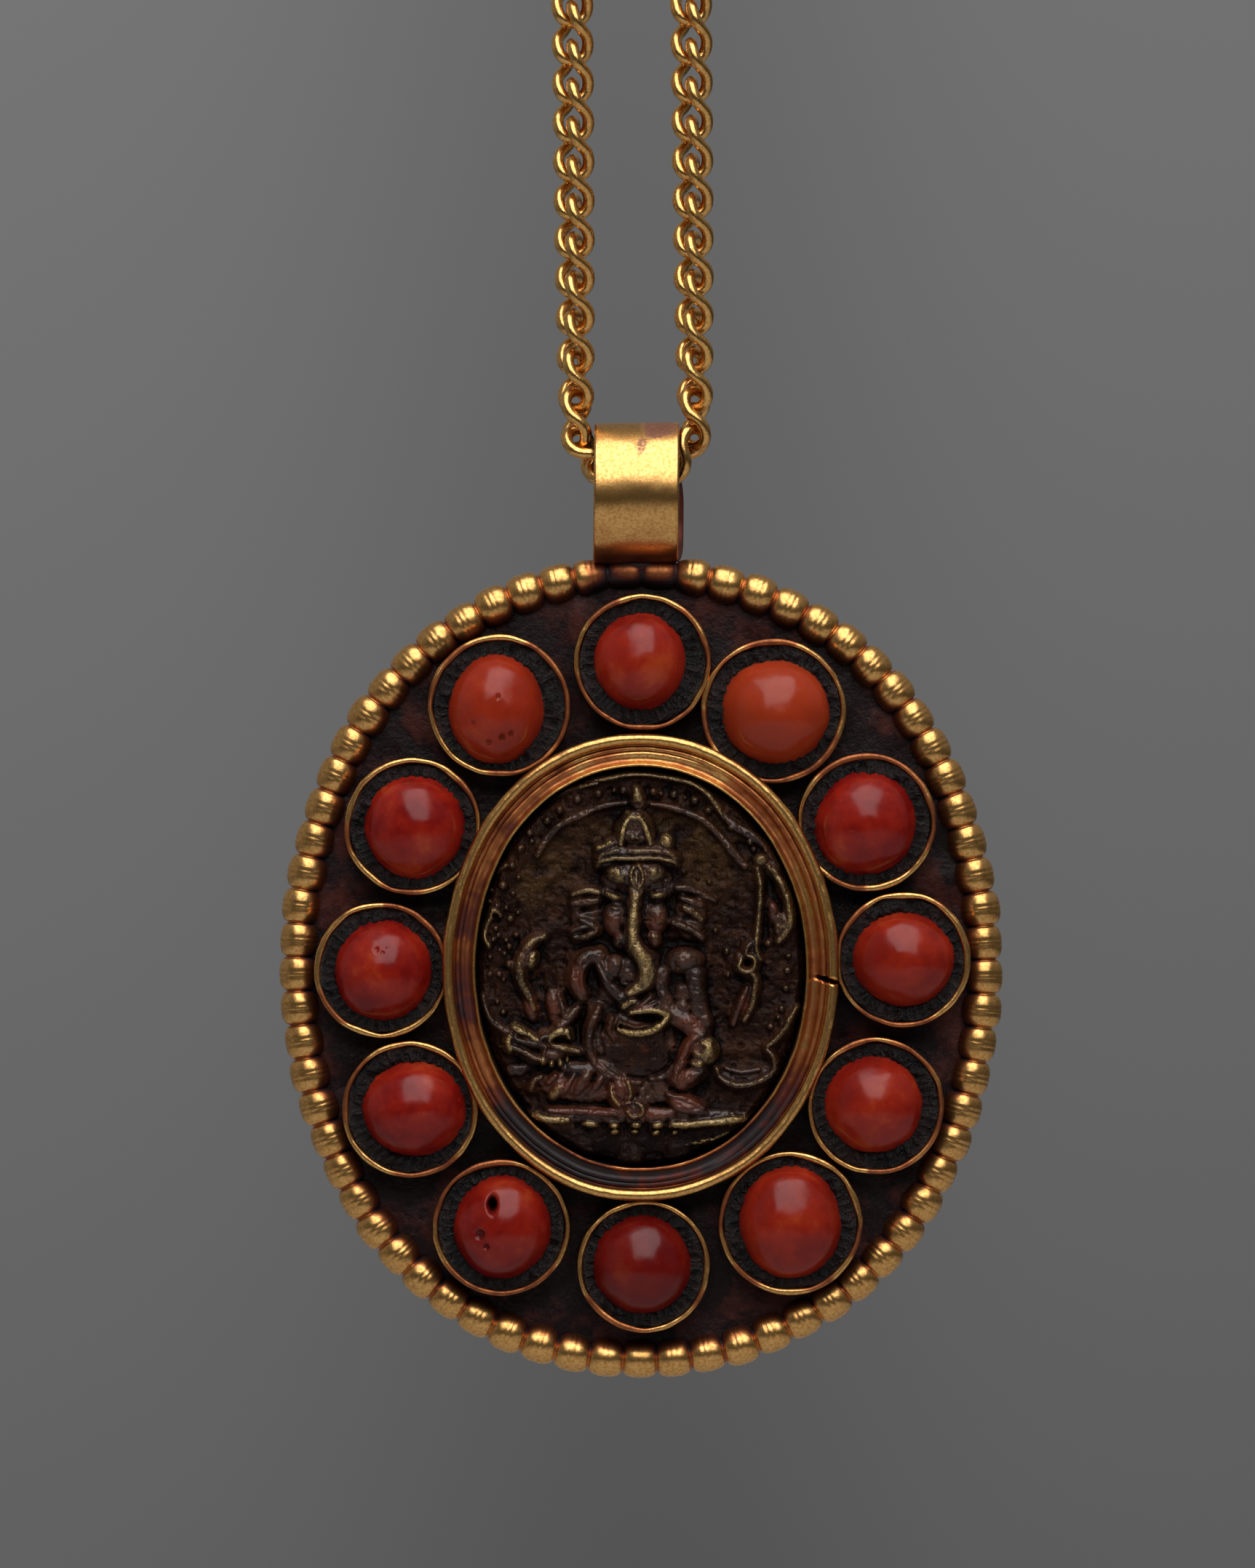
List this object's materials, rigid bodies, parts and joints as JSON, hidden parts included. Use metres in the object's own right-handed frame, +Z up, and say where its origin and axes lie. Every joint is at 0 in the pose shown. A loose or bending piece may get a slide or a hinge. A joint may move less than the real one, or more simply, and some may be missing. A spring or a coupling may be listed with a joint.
{
  "type": "ganesha pendant necklace",
  "caption": "Oval pendant with a cast Ganesha medallion ringed by coral cabochons in a beaded gilt setting, hanging by a strap bail on a loop of curb chain.",
  "frame": {"origin": "inside of the chain's top turn, where the loop hangs", "axes": "+Z up along the strands, the pendant's front faces -Y, +X to the right seen from the front"},
  "size_m": [0.0398, 0.0062, 0.25],
  "materials": {
    "gilt_setting": "gilt brass, worn, with reddish brown patina in the recesses",
    "gilt_chain": "polished gilt wire",
    "cast_bronze": "cast bronze, dark brown patina, rubbed bright on the high places",
    "coral": "polished red coral with orange patches and small pits",
    "dark_cement": "lumpy black resin cement, half gloss"
  },
  "bodies": {
    "chain": {"chain": "gilt_chain", "clasp": "gilt_chain"},
    "pendant": {"setting": "gilt_setting", "medallion": "cast_bronze", "medallion_cement": "dark_cement", "coral_01": "coral", "coral_02": "coral", "coral_03": "coral", "coral_04": "coral", "coral_05": "coral", "coral_06": "coral", "coral_07": "coral", "coral_08": "coral", "coral_09": "coral", "coral_10": "coral", "coral_11": "coral", "coral_12": "coral", "cement_01": "dark_cement", "cement_02": "dark_cement", "cement_03": "dark_cement", "cement_04": "dark_cement", "cement_05": "dark_cement", "cement_06": "dark_cement", "cement_07": "dark_cement", "cement_08": "dark_cement", "cement_09": "dark_cement", "cement_10": "dark_cement", "cement_11": "dark_cement", "cement_12": "dark_cement"}
  },
  "joints": [
    {"name": "pendant_swing", "type": "hinge", "parent": "chain", "child": "pendant", "pos_m": [0, 0, -0.19795], "axis": [1, 0, 0], "range_deg": [-75, 75]}
  ]
}
